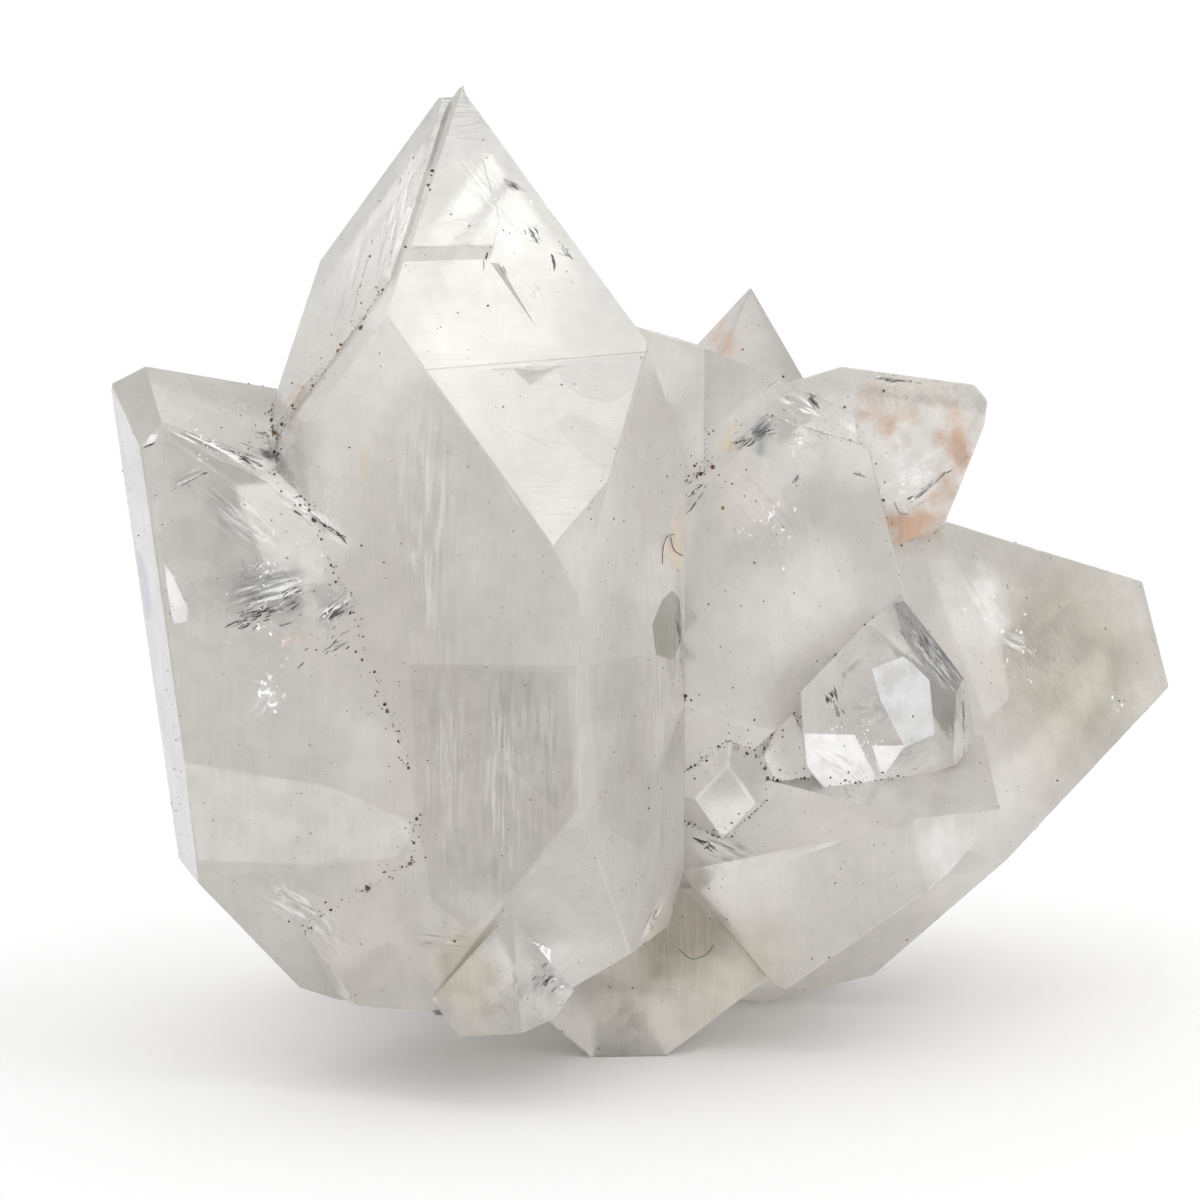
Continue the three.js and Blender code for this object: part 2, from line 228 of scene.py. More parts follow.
# Tones with sharp borders, each drawn on one flat face: its corners in order, colour, strength, clearness.
PATCHES = {
    "streaks_left": (
        [(-13.4, -19.8, 23.5), (-4.6, -23.5, 24.0), (-4.8, -23.7, 16.3), (-8.2, -22.4, 11.7),
         (-10.2, -21.6, 9.6), (-12.3, -20.7, 11.0), (-12.9, -20.4, 14.7)],
        OLIVE, 0.17, 0.2),
    "streaks_right": (
        [(-4.0, -22.5, 23.9), (0.5, -11.6, 23.0), (0.8, -11.3, 14.7), (-1.2, -16.2, 12.9),
         (-3.4, -21.3, 15.3)],
        OLIVE, 0.2, 0.2),
    "left_low": (
        [(-25.5, -18.1, 18.0), (-21.3, -18.9, 18.4), (-17.7, -19.5, 16.9), (-13.4, -20.1, 16.3),
         (-13.4, -20.2, 14.4), (-14.2, -20.2, 13.2), (-19.3, -19.5, 12.7), (-24.7, -18.7, 12.8)],
        WHITE, 0.3, 0.0),
    "main_dark": (
        [(-8.7, -21.8, 23.4), (-5.1, -23.3, 23.6), (-4.8, -23.6, 18.0), (-5.5, -23.4, 16.3),
         (-8.6, -22.0, 18.8)],
        OLIVE, 0.35, 0.3),
    "kite_wedge": ([(-9.15, -14.8, 44.35), (-8.72, -14.65, 44.3), (-6.7, -15.95, 40.93)], INK, 0.8, 0.0),
    "kite_tip": (
        [(-5.12, -18.11, 36.61), (-2.21, -17.57, 35.57), (-2.67, -19.0, 33.71), (-3.02, -19.57, 33.07),
         (-4.42, -19.15, 34.61), (-6.17, -19.07, 35.83)],
        HAZE, 0.55, 0.0),
    "kite_grey": (
        [(-5.66, -16.62, 39.2), (-0.88, -14.43, 39.45), (-1.51, -15.85, 37.71), (-2.84, -16.88, 37.02),
         (-4.43, -17.29, 37.41), (-5.39, -17.12, 38.28)],
        HAZE, 0.75, 0.0),
    "kite_crack": (
        [(-13.55, -20.06, 39.05), (-6.17, -16.75, 39.33), (-6.17, -16.8, 39.25), (-13.55, -20.1, 38.99)],
        INK, 0.5, 0.0),
    "kite_crack_right": (
        [(-6.17, -16.75, 39.33), (-0.38, -14.14, 39.58), (-0.38, -14.18, 39.52), (-6.17, -16.8, 39.25)],
        INK, 0.6, 0.0),
    "main_flake": (
        [(-8.58, -21.47, 33.73), (-8.3, -21.6, 33.85), (-7.7, -21.85, 33.0), (-7.44, -22.0, 32.05),
         (-7.79, -21.84, 32.29)],
        WHITE, 0.6, 0.0),
    "left_cream": (
        [(-26.5, -16.8, 28.4), (-26.0, -17.0, 27.7), (-25.25, -17.33, 26.15), (-25.35, -17.43, 25.41),
         (-26.0, -17.37, 25.3), (-26.27, -17.14, 26.55)],
        WHITE, 0.8, 0.0),
    "left_corner": (
        [(-27.6, -15.7, 34.4), (-27.3, -15.6, 35.2), (-26.43, -15.8, 35.3), (-27.08, -15.79, 34.84),
         (-27.4, -15.84, 34.3)],
        WHITE, 1.0, 0.0),
    # painted shade on the left side face
    "left_side": (
        [(-29.9, -10.06, 37.1), (-27.84, -15.74, 34.62), (-25.65, -18.25, 19.7), (-24.78, -18.72, 11.91),
         (-26.16, -14.51, 12.11)],
        DUSK, 0.75, 0.0),
    # painted reflection of a blue object on the left side face
    "left_side_blue_reflection": (
        [(-28.54, -11.82, 28.6), (-28.0, -13.4, 28.5), (-27.75, -14.0, 27.6), (-27.5, -14.4, 26.3),
         (-27.55, -14.0, 25.2), (-27.9, -12.76, 24.84), (-28.14, -12.45, 26.45)],
        REFLECTED_BLUE, 0.8, 0.0),
    # painted shade in the cleft between the crystals
    "gap_shade": (
        [(-0.57, -14.2, 24.78), (-0.02, -12.83, 25.94), (0.54, -11.47, 26.3), (0.99, -10.4, 25.6),
         (1.11, -10.19, 23.37), (0.54, -11.59, 22.48), (-0.35, -13.73, 23.08)],
        CLEFT_SHADE, 1.0, 0.4),
    "bright_fan": (
        [(12.97, -4.07, 24.54), (13.86, -3.12, 24.58), (17.86, -2.75, 19.65), (16.47, -4.19, 19.65),
         (14.73, -4.95, 21.01), (13.6, -4.91, 22.58)],
        STEEL, 0.5, 0.5),
    # painted reflection: white where the crystal's inner faces mirror light
    "bright_facet": (
        [(7.6, -8.3, 17.9), (10.7, -7.0, 17.6), (12.1, -6.7, 14.8), (9.7, -7.6, 14.1), (8.2, -8.2, 15.2)],
        WHITE, 1.0, 0.0),
    "bright_pale": (
        [(11.7, -6.4, 21.2), (13.6, -5.5, 21.8), (15.0, -5.0, 20.3), (15.3, -5.1, 17.3), (13.6, -5.9, 16.7),
         (12.2, -6.3, 19.4)],
        DUSK_WHITE, 0.8, 0.3),
    # painted reflection: white where the crystal's inner faces mirror light
    "bright_triangle_reflection": ([(11.7, -6.6, 16.9), (13.6, -5.8, 16.8), (12.3, -6.6, 15.1)], WHITE, 1.0, 0.0),
    "right_band": (
        [(15.1, 2.2, 26.1), (16.9, 3.3, 26.0), (19.6, 3.5, 21.3), (20.1, 2.8, 18.0), (18.6, 1.6, 17.0),
         (16.9, 1.9, 21.6)],
        WHITE, 0.25, 0.0),
}

# Air-filled cracks deep in the clear parts: centre, the way they face, radii.
CRACKS = {
    "left_disc": ((-20.8, -15.6, 27.0), (0.25, -0.8, 0.55), (2.4, 1.5)),
    "left_disc_low": ((-20.2, -15.0, 26.0), (-0.3, -0.75, -0.6), (2.6, 1.4)),
    "left_feather": ((-17.6, -16.6, 26.6), (0.5, -0.7, 0.5), (1.5, 0.9)),
    "cleavage": ((-9.5, -13.5, 39.4), (0.03, -0.09, 0.99), (6.2, 4.6)),
    "kite_wedge": ((-8.2, -13.4, 42.6), (0.84, 0.3, 0.45), (2.2, 0.8)),
    "front_silver": ((-6.7, -20.4, 7.4), (0.6, -0.7, 0.1), (1.5, 1.1)),
    "bright_deep": ((12.0, -4.2, 18.6), (0.3, -0.9, 0.35), (2.0, 1.2)),
    "bright_low": ((13.6, -3.6, 16.6), (-0.3, -0.8, 0.5), (1.5, 0.8)),
    "middle_roof": ((8.6, 1.4, 33.6), (0.35, -0.6, 0.72), (2.2, 0.9)),
    "right_deep": ((22.5, 8.0, 20.5), (0.5, -0.8, -0.2), (2.8, 1.7)),
    "rear": ((-6, 9, 26), (0.2, 0.9, 0.4), (3.0, 2.0)),
}

# Small white flakes, flush with the skin, partly cleavage flakes and partly painted glints: centre, spread,
# how many.
CHIPS_AND_GLINTS = {
    "left_disc": ((-21.4, -17.6, 28.4), 0.8, 34),
    "left_disc_low": ((-20.2, -17.8, 26.4), 2.4, 34),
    "left_feather": ((-17.5, -18.2, 26.4), 1.2, 26),
    "left_flecks": ((-21.1, -18.5, 21.8), 1.5, 150),
    "left_scatter": ((-21.0, -17.5, 26.0), 4.8, 120),
    "left_top": ((-24.4, -16.0, 34.8), 1.4, 30),
    "front": ((-6.6, -22.8, 7.8), 1.5, 70),
    "front_left": ((-11.9, -21.2, 5.8), 0.9, 30),
    "middle": ((6.2, -4.2, 29.6), 3.4, 120),
    "middle_top": ((7.6, -1.6, 33.0), 3.2, 80),
    "block": ((14.6, 1.6, 31.0), 2.0, 70),
    "right": ((20.8, 4.1, 20.9), 2.6, 60),
    "right_cloud": ((18.0, 3.0, 23.4), 2.4, 50),
    "right_low": ((26.3, 7.0, 16.7), 0.9, 24),
    "bright": ((11.0, -6.6, 17.0), 2.4, 70),
    "kite": ((-7.3, -12.8, 46.0), 1.8, 60),
    "kite_low": ((-5.4, -17.4, 38.0), 2.6, 30),
    "rear": ((-4, 20, 22), 9.0, 160),
}

# Bundles of dark glassy blades along cracks that reach the skin: centre, direction, reach along and
# across it, how many.
# The blades' dark is a painted reflection of what the cracks mirror.
BLADES = {
    "kite_a": ((-8.0, -11.6, 48.2), (0.7, 0, -0.4), 0.5, 0.45, 14),
    "kite_b": ((-7.0, -12.9, 45.7), (0.5, 0, -1), 0.6, 0.45, 20),
    "kite_c": ((-5.2, -12.8, 44.7), (0.4, 0.1, -1), 0.35, 0.35, 9),
    "kite_d": ((-5.83, -13.35, 44.24), (0.1, -0.3, -1), 0.35, 0.25, 9),
    "left_toothed": ((-21.0, -15.8, 34.1), (2.4, -0.6, -0.8), 1.0, 0.8, 150),
    "left_toothed_up": ((-21.3, -14.2, 35.1), (2.2, 0.2, 0.3), 0.6, 0.8, 24),
    "left_scratch": ((-25.2, -16.35, 32.8), (2.1, -0.1, 1.1), 1.4, 0.1, 16),
    "left_corner": ((-27.2, -15.7, 34.7), (1, -0.1, 0.5), 0.5, 0.2, 8),
    "left_band": ((-22.4, -16.1, 34.0), (5.4, -1.0, -2.5), 2.0, 0.35, 26),
    "left_band_low": ((-17.6, -18.0, 30.4), (3.5, -1.2, -2.4), 1.6, 0.35, 22),
    "left_disc": ((-20.8, -17.8, 26.3), (4.8, -0.5, 2.4), 2.2, 1.3, 120),
    "left_feather": ((-17.4, -18.2, 26.0), (1.5, -0.3, 1.2), 1.0, 0.7, 26),
    "left_low": ((-18.0, -18.4, 24.0), (1.5, -0.3, 1.2), 1.6, 1.2, 22),
    "main_edge": ((-15.0, -13.0, 42.5), (-1.9, -7.3, -7.1), 2.6, 0.45, 24),
    "middle_blue": ((5.4, -3.1, 33.8), (1.5, 0.8, 0.8), 1.2, 0.8, 80),
    "middle_top": ((8.6, -0.2, 35.5), (0.8, 0.3, -1.0), 0.5, 0.35, 34),
    "middle_slash": ((7.5, -2.5, 31.3), (0.6, 0.5, 0.6), 0.5, 0.3, 8),
    "middle_side": ((11.3, -0.4, 31.3), (0.9, 0.4, -0.5), 0.35, 0.25, 8),
    "middle_left": ((1.9, -6.0, 31.0), (0.5, 0.2, 0.6), 1.2, 1.0, 18),
    "kite_edge": ((-9.3, -14.2, 45.2), (0.3, 1.0, 1.3), 1.4, 0.06, 10),
    "block": ((15.0, 1.5, 30.2), (2.2, 0.1, 1.7), 1.2, 0.5, 24),
    "block_end": ((17.2, 1.6, 29.8), (0.6, 0.3, -1), 0.8, 0.4, 18),
    "block_top": ((13.4, 2.3, 36.4), (1, 0, -0.1), 1.3, 0.2, 16),
    "gap": ((0.9, -10.8, 24.2), (0.2, 0.3, -1), 0.9, 0.4, 26),
    "bright_fan": ((15.0, -4.1, 22.1), (3.1, 0.3, -4.6), 2.0, 1.2, 130),
    "bright_end": ((17.2, -3.4, 18.0), (0.3, 0, -2.8), 1.3, 0.3, 40),
    "bright_left": ((9.4, -7.4, 19.6), (0.6, 0.2, -1.4), 1.0, 0.6, 22),
    "front": ((-6.1, -23.5, 7.4), (1.9, 1.2, 1.8), 1.1, 0.8, 30),
    "foot_fan": ((-0.5, -14.4, 8.7), (1.5, 3.7, 2.3), 0.9, 0.5, 14),
    "nook": ((2.4, -8.6, 12.0), (1.9, -0.6, -1.2), 0.9, 0.5, 18),
    "rear": ((-6, 12, 28), (0, 0.2, 1), 2.6, 1.0, 30),
    "rear_right": ((9, 22, 20), (0, -0.2, 1), 2.0, 1.0, 24),
}

# Seams that are thick with grains: centre, reach, grains per millimetre of seam.
SEAMS = {
    "left": ((-15, -18, 27), 13, 11),
    "left_foot": ((-14, -19, 14), 6, 13),
    "middle": ((0.8, -11, 27), 10, 20),
    "middle_foot": ((0.8, -11, 12), 7, 14),
    "right": ((7, -6, 19), 7, 13),
    "block": ((12, 1, 33), 6, 12),
}

# Hairs lying on the crystals: the points they run through.
LINT = {
    "middle_long": [(0.0, -12.8, 27.9), (0.05, -12.63, 28.75), (0.26, -12.1, 29.28), (0.66, -11.14, 29.3)],
    "middle_short": [(0.46, -11.64, 29.24), (0.6, -11.32, 28.58), (0.86, -10.7, 28.22), (1.13, -10.06, 28.0)],
    "foot": [(1.0, -9.0, 5.9), (1.7, -9.2, 5.4), (2.5, -9.0, 5.6), (2.9, -8.9, 6.1)],
    "block": [(13.3, 1.1, 29.6), (13.6, 0.9, 29.0), (14.1, 1.1, 28.9)],
}


# ---------------------------------------------------------------- shader graphs


class Graph:
    """A material's node tree, with one short method for each kind of node it needs."""

    def __init__(self, name):
        self.material = bpy.data.materials.new(name)
        self.material.use_nodes = True
        self.tree = self.material.node_tree
        self.tree.nodes.clear()

    def node(self, kind, inputs=None, **settings):
        made = self.tree.nodes.new("ShaderNode" + kind)
        for name, value in settings.items():
            setattr(made, name, value)
        for name, value in (inputs or {}).items():
            if isinstance(value, bpy.types.NodeSocket):
                self.tree.links.new(value, made.inputs[name])
            elif isinstance(value, tuple) and made.inputs[name].type == "RGBA":
                made.inputs[name].default_value = (*value, 1)
            else:
                made.inputs[name].default_value = value
        return made

    def math(self, operation, *values):
        return self.node("Math", dict(enumerate(values)), operation=operation).outputs[0]

    def vector(self, operation, *values, output=0):
        inputs = dict(enumerate(values))
        if operation == "SCALE":
            inputs = {0: values[0], "Scale": values[1]}
        return self.node("VectorMath", inputs, operation=operation).outputs[output]

    def remap(self, value, low, high, to_low=0.0, to_high=1.0):
        """A smooth step from to_low where value is low to to_high where it is high."""
        inputs = {"Value": value, 1: low, 2: high, 3: to_low, 4: to_high}
        return self.node("MapRange", inputs, interpolation_type="SMOOTHSTEP").outputs[0]

    def noise(self, place, scale, detail=3.0, roughness=0.5, output="Fac"):
        inputs = {"Vector": place, "Scale": scale, "Detail": detail, "Roughness": roughness}
        return self.node("TexNoise", inputs).outputs[output]

    def blend(self, factor, low, high):
        """The number low where factor is 0, high where it is 1."""
        return self.node("Mix", {0: factor, 2: low, 3: high}, data_type="FLOAT").outputs[0]

    def tint(self, factor, low, high):
        """The colour low where factor is 0, high where it is 1."""
        return self.node("Mix", {0: factor, 6: low, 7: high}, data_type="RGBA").outputs[2]

    def ramp(self, value, *stops):
        made = self.node("ValToRGB", {0: value})
        elements = made.color_ramp.elements
        while len(elements) < len(stops):
            elements.new(0.5)
        for element, (position, colour) in zip(elements, stops):
            element.position = position
            element.color = (*colour, 1)
        return made.outputs[0]

    def attribute(self, name, output="Fac"):
        return self.node("Attribute", attribute_name=name).outputs[output]

    def place(self):
        """Where the shaded point is, in millimetres."""
        return self.vector("SCALE", self.node("TexCoord").outputs["Object"], 1 / MM)

    def bump(self, strength, distance, height):
        """The surface's normal with relief of that height in millimetres."""
        inputs = {"Strength": strength, "Distance": distance * MM, "Height": height}
        return self.node("Bump", inputs).outputs[0]

    def finish(self, shader):
        self.node("OutputMaterial", {"Surface": shader.outputs[0]})
        return self.material


def crystal_material():
    g = Graph("apophyllite")
    place = g.place()
    clear = g.attribute("clear")

    # Striations, growth lines and streaks run along "flow", so noise is drawn out that way.
    flow = g.attribute("flow", "Vector")
    along = g.math("MULTIPLY", g.vector("DOT_PRODUCT", place, flow, output="Value"), 0.93)
    drawn = g.vector("SUBTRACT", place, g.vector("SCALE", flow, along))
    fine = g.noise(drawn, 5.0, 3, 0.6)
    bright = g.math("MULTIPLY", g.remap(fine, 0.50, 0.60), g.attribute("bright"))
    dark = g.math("MULTIPLY", g.remap(fine, 0.46, 0.38), g.attribute("dark"))
    # The milky parts are even, the clear ones cloudy.
    hillocks = g.noise(place, 0.7, 4, 0.66)
    shade = g.remap(hillocks, 0.38, 0.62, g.blend(clear, 0.95, 0.80), 1.03)
    lines = g.remap(fine, 0.36, 0.60, 0.98, 1.012)
    body = g.vector("SCALE", g.attribute("body", "Color"), g.math("MULTIPLY", shade, lines))
    colour = g.tint(dark, g.tint(bright, body, WHITE), SLATE)
    mottled = g.math("MULTIPLY", g.attribute("opaque"), g.remap(hillocks, 0.35, 0.6, 0.55, 1.0))
    solid = g.math("MAXIMUM", mottled, bright)

    relief = g.math("ADD", g.math("MULTIPLY", fine, 0.5), g.math("MULTIPLY", hillocks, 0.35))
    bump = g.bump(0.3, 0.05, relief)

    shader = g.node("BsdfPrincipled", {
        "Base Color": colour,
        "Roughness": g.blend(clear, 0.42, 0.06),
        "Transmission Weight": g.blend(solid, g.blend(clear, 0.70, 0.96), 0.12),
        "IOR": CRYSTAL_IOR,
        "Coat Weight": 1.0,
        "Coat Roughness": 0.03,
        "Coat IOR": 1.5,
        "Normal": bump,
        "Coat Normal": bump,
    })
    return g.finish(shader)


def crack_material():
    """Air in a crack: light that meets it at a slant is thrown back, so it looks silvery."""
    g = Graph("air_crack")
    ripples = g.noise(g.place(), 1.6, 4, 0.65)
    shader = g.node("BsdfPrincipled", {
        "Base Color": g.ramp(ripples, (0.42, (0.80, 0.82, 0.84)), (0.58, (0.99, 0.99, 0.98))),
        "Roughness": 0.04,
        "Transmission Weight": 1.0,
        "IOR": AIR_IOR,
        "Normal": g.bump(0.7, 0.12, ripples),
    })
    return g.finish(shader)


# white flakes that also stand in for glints: painted highlights
def chip_and_glint_material():
    g = Graph("white_chips_and_glints")
    tone = g.noise(g.place(), 3.0, 3, 0.6)
    shader = g.node("BsdfPrincipled", {
        "Base Color": g.ramp(tone, (0.35, (0.86, 0.85, 0.83)), (0.6, (0.98, 0.98, 0.97))),
        "Roughness": g.remap(tone, 0.3, 0.7, 0.15, 0.5),
        "Specular IOR Level": 0.6,
    })
    return g.finish(shader)


def blade_material():
    """Cracks that show their dark side; the dark is a painted reflection."""
    g = Graph("crack_blades_painted_dark")
    tone = g.noise(g.place(), 1.1, 3, 0.6)
    shader = g.node("BsdfPrincipled", {
        "Base Color": g.ramp(
            tone, (0.36, (0.035, 0.033, 0.03)), (0.5, (0.13, 0.13, 0.125)), (0.64, (0.36, 0.36, 0.35))),
        "Roughness": 0.25,
    })
    return g.finish(shader)


def grain_material():
    """Iron-stained grains, from near black through rust to ochre, each with its own tone."""
    g = Graph("seam_grains")
    tone = g.noise(g.place(), 1.4, 3, 0.7)
    colour = g.ramp(
        tone, (0.34, (0.012, 0.010, 0.008)), (0.48, (0.05, 0.028, 0.014)), (0.58, (0.17, 0.075, 0.025)),
        (0.70, (0.36, 0.21, 0.09)))
    bump = g.bump(0.6, 0.03, g.noise(g.place(), 14, 2))
    shader = g.node("BsdfPrincipled", {"Base Color": colour, "Roughness": 0.75, "Normal": bump})
    return g.finish(shader)


def lint_material():
    g = Graph("lint")
    tone = g.noise(g.place(), 3.0, 2)
    colour = g.ramp(tone, (0.4, (0.03, 0.04, 0.06)), (0.6, (0.16, 0.17, 0.19)))
    return g.finish(g.node("BsdfPrincipled", {"Base Color": colour, "Roughness": 0.8}))


# ---------------------------------------------------------------- the crystals


def grain_of(normal):
    """The direction of a face's striations."""
    for axis in C_AXES:
        lean = abs(normal.dot(axis))
        if lean < AXIS_MATCH:
            return axis
        if abs(lean - PYRAMID_COSINE) < AXIS_MATCH:
            return normal.cross(axis).normalized()
    up = C_AXES[0] - normal * normal.dot(C_AXES[0])
    return up.normalized() if up.length > 0.2 else normal.orthogonal().normalized()


def wear_edges(bm):
    """Rounds off the crystals' outer edges a little, where there is room for it."""
    roomy = {v for v in bm.verts if min(e.calc_length() for e in v.link_edges) > 0.5 * MM}
    worn = [
        edge
        for edge in bm.edges
        if edge.is_manifold
        and edge.is_convex
        and edge.calc_face_angle(0) > math.radians(18)
        and roomy.issuperset(edge.verts)
    ]
    bmesh.ops.bevel(
        bm, geom=worn, offset=0.14 * MM, offset_type="OFFSET", segments=2, profile=0.6,
        affect="EDGES", clamp_overlap=True, loop_slide=True,
    )


def draw_patch(bm, corners):
    """Cuts a convex outline into the flat face it lies on, and returns the faces within it."""
    points = [Vector(c) * MM for c in corners]
    middle = sum(points, Vector()) / len(points)
    face = min(
        (f for f in bm.faces if f.calc_area() > 4 * MM * MM),
        key=lambda f: sum(abs((p - f.calc_center_median()).dot(f.normal)) for p in points)
        + (0 if bmesh.geometry.intersect_face_point(f, middle) else MM),
    )
    normal, origin = face.normal.copy(), face.calc_center_median()

    def on_face(f):
        height = abs((f.calc_center_median() - origin).dot(normal))
        return f.normal.dot(normal) > 0.9999 and height < 0.02 * MM

    sides = [(a, (b - a).cross(normal).normalized()) for a, b in zip(points, points[1:] + points[:1])]
    outward = 1 if (middle - sides[0][0]).dot(sides[0][1]) < 0 else -1
    for point, side in sides:
        flat = [f for f in bm.faces if on_face(f)]
        near = list(dict.fromkeys(part for f in flat for part in (f, *f.edges, *f.verts)))
        bmesh.ops.bisect_plane(bm, geom=near, dist=0.001 * MM, plane_co=point, plane_no=side)
    return [
        f for f in bm.faces
        if on_face(f) and all((f.calc_center_median() - p).dot(s) * outward < 0 for p, s in sides)
    ]


def refine(bm):
    """Splits the flat faces into triangles that can carry the soft colours, finest near small marks."""
    marks = [(centre, max(radii)) for centre, radii, *_ in TINTS.values()]
    marks += [(centre, reach) for centre, _, reach, *_ in STREAKS.values()]
    small = [(np.array(centre), reach) for centre, reach in marks if reach < 4.5]
    bmesh.ops.triangulate(bm, faces=bm.faces)
    for _ in range(6):
        edges = list(bm.edges)
        ends = np.array([(*e.verts[0].co, *e.verts[1].co) for e in edges]) / MM
        middles = (ends[:, :3] + ends[:, 3:]) / 2
        lengths = np.linalg.norm(ends[:, :3] - ends[:, 3:], axis=1)
        limits = np.full(len(edges), MESH_STEP)
        for centre, reach in small:
            limits[np.linalg.norm(middles - centre, axis=1) < reach] = FINE_STEP
        long_edges = [e for e, is_long in zip(edges, lengths > limits) if is_long]
        bmesh.ops.subdivide_edges(bm, edges=long_edges, cuts=1)
        bmesh.ops.triangulate(bm, faces=[f for f in bm.faces if len(f.verts) > 3])


def nearness(distance):
    """1 up to distance 0.4, from there falling to 0 at distance 1."""
    return np.clip((1 - distance) / 0.6, 0, 1) ** 1.2


# How fast and how far the outlines of soft patches wander: turns per millimetre, millimetres.
WANDER = [(0.25, 1.2), (0.8, 0.9), (2.2, 0.35)]


def wander(points):
    """A random shift for each point, so that no soft patch has a regular outline."""
    def shift(point):
        return sum((noise.noise_vector(point * rate) * reach for rate, reach in WANDER), Vector())

    return np.array([shift(Vector(point)) for point in points])


def body_fields(points):
    """The body colour, clearness and opacity at each of the points."""
    warped = points + wander(points)
    clear = np.zeros(len(points))
    for centre, radii, clearness in CLEAR_ZONES.values():
        clear = np.maximum(clear, nearness(np.linalg.norm((warped - centre) / radii, axis=1)) * clearness)
    body, opaque = MILK + clear[:, None] * np.subtract(CLEAR, MILK), np.zeros(len(points))
    for centre, radii, colour, strength in TINTS.values():
        amount = nearness(np.linalg.norm((warped - centre) / radii, axis=1)) * strength
        body += amount[:, None] * (colour - body)
        if colour in CLOUDY:
            opaque = np.maximum(opaque, amount * 0.8)
    return body, clear, opaque


def streak_fields(points, grain):
    """How many bright and dark streaks there are at each of the points, and which way they run."""
    flow = grain.copy()
    bright, dark, strongest = np.full(len(points), 0.05), np.zeros(len(points)), np.full(len(points), 0.04)
    for centre, direction, reach, width, many_bright, many_dark in STREAKS.values():
        direction = np.array(direction) / np.linalg.norm(direction)
        along = (points - centre) @ direction
        across = np.linalg.norm(points - centre - along[:, None] * direction, axis=1)
        amount = nearness(np.hypot(along / reach, across / width))
        flow[amount > strongest] = direction
        strongest = np.maximum(strongest, amount)
        bright, dark = np.maximum(bright, amount * many_bright), np.maximum(dark, amount * many_dark)
    return bright, dark, flow


def read_layer(data, field, width=1, kind=np.float32):
    values = np.empty(len(data) * width, kind)
    data.foreach_get(field, values)
    return values.reshape(-1, width) if width > 1 else values


def write_layer(mesh, name, kind, values):
    field = {"FLOAT_COLOR": "color", "FLOAT_VECTOR": "vector", "FLOAT": "value"}[kind]
    layer = mesh.attributes.new(name, kind, "CORNER")
    layer.data.foreach_set(field, np.asarray(values, np.float32).ravel())


def paint(mesh):
    """Gives every face corner its body colour, clearness and streaks."""
    corner_vertex = read_layer(mesh.loops, "vertex_index", kind=np.int32)
    points = read_layer(mesh.vertices, "co", 3) / MM
    body, clear, opaque = (field[corner_vertex] for field in body_fields(points))
    grain = np.repeat(read_layer(mesh.attributes["grain"].data, "vector", 3), 3, axis=0)
    bright, dark, _ = streak_fields(points[corner_vertex], grain)
    middles = np.repeat(points[corner_vertex].reshape(-1, 3, 3).mean(axis=1), 3, axis=0)
    _, _, flow = streak_fields(middles, grain)  # the same all over a triangle
    patch_of = np.repeat(read_layer(mesh.attributes["patch"].data, "value", kind=np.int32), 3)
    for number, (_, colour, strength, clearness) in enumerate(PATCHES.values(), 1):
        inside = patch_of == number
        body[inside] += strength * (colour - body[inside])
        clear[inside] = clearness
        opaque[inside] = strength if colour in CLOUDY else 0
    write_layer(mesh, "body", "FLOAT_COLOR", np.c_[body, np.ones(len(body))])
    write_layer(mesh, "flow", "FLOAT_VECTOR", flow)
    for name, values in {"clear": clear, "opaque": opaque, "bright": bright, "dark": dark}.items():
        write_layer(mesh, name, "FLOAT", values)


def whole_crystals(node):
    """The node's solid with its flat faces whole again and its seams closed."""
    bm = bmesh.new()
    bm.from_mesh(node.data)
    bmesh.ops.remove_doubles(bm, verts=bm.verts, dist=0.03 * MM)
    bmesh.ops.dissolve_limit(bm, angle_limit=math.radians(0.6), verts=bm.verts, edges=bm.edges)
    return bm


def inward_edges(bm):
    """The ends of each edge where crystals meet at an inward angle."""
    return [
        (edge.verts[0].co.copy(), edge.verts[1].co.copy())
        for edge in bm.edges
        if edge.is_manifold and not edge.is_convex and edge.calc_face_angle(0) > math.radians(15)
    ]


def flat_triangles(bm):
    """The area and the corners of every triangle of the surface."""
    corners = [[loop.vert.co.copy() for loop in triangle] for triangle in bm.calc_loop_triangles()]
    return [(area_tri(*three), *three) for three in corners]


def crystal_skin(bm):
    wear_edges(bm)
    patch_layer = bm.faces.layers.int.new("patch")
    for number, (corners, *_) in enumerate(PATCHES.values(), 1):
        for face in draw_patch(bm, corners):
            face[patch_layer] = number
    grain_layer = bm.faces.layers.float_vector.new("grain")
    for face in bm.faces:
        face[grain_layer] = grain_of(face.normal)
    refine(bm)
    skin = make_piece("crystals", bm, crystal_material())
    paint(skin.data)
    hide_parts(CLUSTER)


def make_piece(name, bm, material):
    """A piece of the visual from a mesh in metres, riding on the cluster."""
    mesh = bpy.data.meshes.new(name)
    bm.to_mesh(mesh)
    bm.free()
    mesh.materials.append(material)
    piece = bpy.data.objects.new(name, mesh)
    bpy.context.collection.objects.link(piece)
    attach(piece, "root")
    return piece


# ---------------------------------------------------------------- in the crystals and on them


def flake(bm, place, normal, along, length, width, corners=6, thickness=0.12):
    """A thin flake with a rough outline; its thickness in the middle is that share of its width."""
    across = normal.cross(along)
    rim = []
    for k in range(corners):
        angle = k * math.tau / corners
        reach = dice.uniform(0.7, 1.1) / 2
        rim.append(bm.verts.new(
            place + along * math.cos(angle) * length * reach + across * math.sin(angle) * width * reach))
    top, bottom = (bm.verts.new(place + normal * side * width * thickness / 2) for side in (1, -1))
    for a, b in zip(rim, rim[1:] + rim[:1]):
        bm.faces.new((a, b, top))
        bm.faces.new((b, a, bottom))


